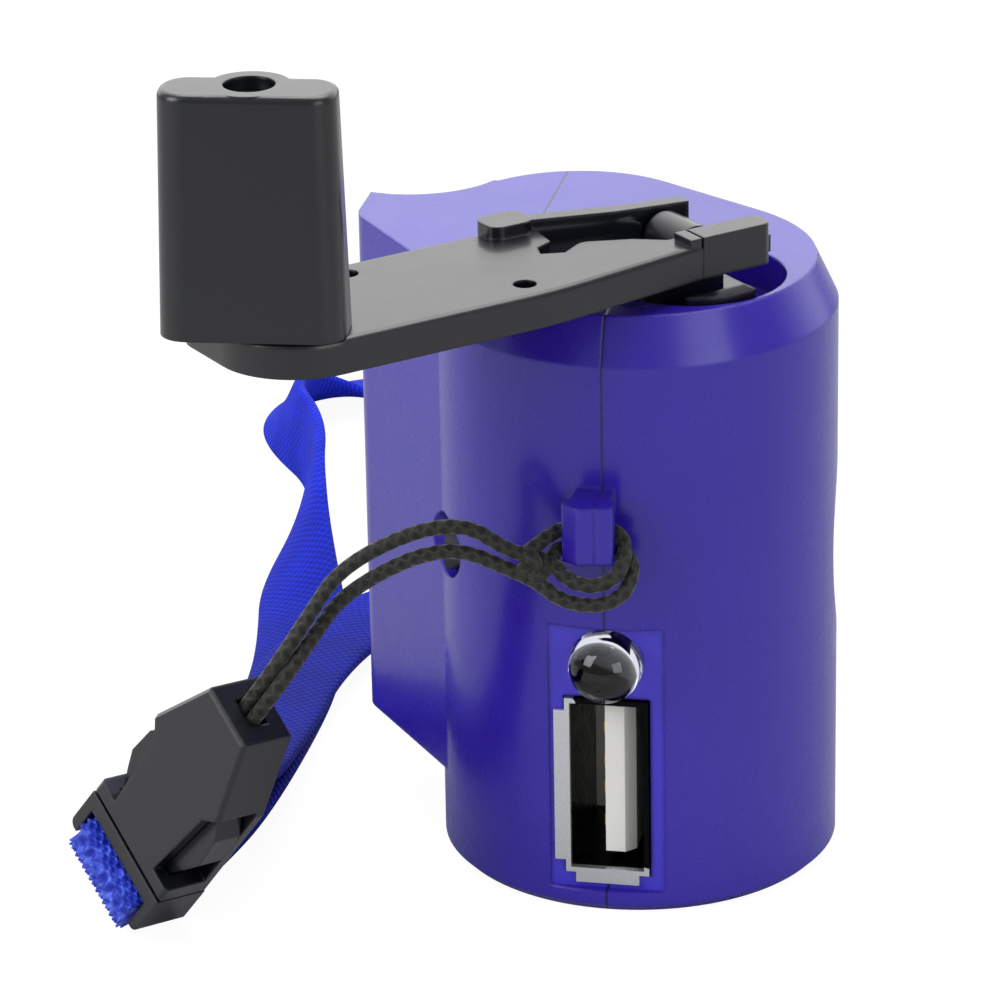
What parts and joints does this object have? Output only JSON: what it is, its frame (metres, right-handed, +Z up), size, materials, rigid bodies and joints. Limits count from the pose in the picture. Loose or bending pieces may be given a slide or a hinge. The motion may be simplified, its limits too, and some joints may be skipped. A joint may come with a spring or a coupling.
{
  "type": "hand crank phone charger",
  "caption": "Pocket charger with a fold-out crank that turns a geared generator, a lamp, an upright socket in the front and a corded wrist strap with a buckle.",
  "frame": {"origin": "centre of the front cylinder on the base plane", "axes": "+Z up through the body, -Y out of the face with the socket and the lamp, +X towards the side with the oval dish"},
  "size_m": [0.0545, 0.1182, 0.0635],
  "materials": {
    "shell_plastic": "ultramarine blue, glossy, finely moulded",
    "black_plastic": "near-black, satin",
    "gear_nylon": "natural nylon, satin",
    "frame_plastic": "black, satin",
    "steel": "bright turned steel",
    "tin_plate": "bright tin-plated sheet",
    "magnet": "dark sintered ferrite",
    "copper_rotor": "enamelled copper and steel",
    "contact_gold": "gold-flashed contact strip",
    "cream_plastic": "cream insulator",
    "lamp_epoxy": "water-clear epoxy",
    "board": "green solder mask",
    "component_black": "moulded epoxy",
    "capacitor_sleeve": "dark shrink sleeve",
    "cord_braid": "black braided cord",
    "webbing": "bright blue woven webbing"
  },
  "bodies": {
    "housing": {"buckle_female": "black_plastic", "buckle_male": "black_plastic", "capacitor": "capacitor_sleeve", "circuit_board": "board", "cord_knot": "cord_braid", "cord_loop": "cord_braid", "cord_lower": "cord_braid", "cord_upper": "cord_braid", "diodes": "component_black", "frame_screws": "steel", "gear_cover": "frame_plastic", "gear_frame": "frame_plastic", "idler_axles": "steel", "inductor": "component_black", "led": "lamp_epoxy", "left_shell": "shell_plastic", "motor_can": "tin_plate", "motor_cap": "frame_plastic", "motor_magnets": "magnet", "motor_screws": "steel", "regulator": "component_black", "right_shell": "shell_plastic", "shell_screws": "steel", "strap": "webbing", "strap_fold": "webbing", "usb_contacts": "contact_gold", "usb_insulator": "cream_plastic", "usb_shell": "tin_plate"},
    "crank": {"crank_hub": "black_plastic", "crank_shaft": "steel", "crank_gear": "gear_nylon"},
    "arm": {"crank_arm": "black_plastic", "hinge_pin": "steel", "knob_screw": "steel"},
    "knob": {"crank_knob": "black_plastic"},
    "idler_a": {"idler_gear_a": "gear_nylon"},
    "idler_b": {"idler_gear_b": "gear_nylon"},
    "rotor": {"motor_rotor": "copper_rotor", "motor_pinion": "gear_nylon"}
  },
  "joints": [
    {"name": "crank_spin", "type": "hinge", "parent": "housing", "child": "crank", "pos_m": [0.0045, -0.0035, 0.0407], "axis": [0, 0, 1], "continuous": true},
    {"name": "arm_fold", "type": "hinge", "parent": "crank", "child": "arm", "pos_m": [0.00377, -0.00418, 0.0459], "axis": [-0.682, 0.7314, 0], "range_deg": [0, 180]},
    {"name": "knob_spin", "type": "hinge", "parent": "arm", "child": "knob", "pos_m": [-0.0199, -0.02762, 0.0473], "axis": [0, 0, 1], "continuous": true},
    {"name": "idler_a_spin", "type": "hinge", "parent": "housing", "child": "idler_a", "pos_m": [-0.0031, -0.00101, 0.0322], "axis": [0, 0, 1], "continuous": true},
    {"name": "idler_b_spin", "type": "hinge", "parent": "housing", "child": "idler_b", "pos_m": [0.00294, 0.00422, 0.0294], "axis": [0, 0, 1], "continuous": true},
    {"name": "rotor_spin", "type": "hinge", "parent": "housing", "child": "rotor", "pos_m": [-0.00411, 0.008, 0.027], "axis": [0, 0, 1], "continuous": true}
  ],
  "couplings": [
    {"joint": "idler_a_spin", "follows": "crank_spin", "ratio": -3},
    {"joint": "idler_b_spin", "follows": "crank_spin", "ratio": 9},
    {"joint": "rotor_spin", "follows": "crank_spin", "ratio": -27}
  ]
}
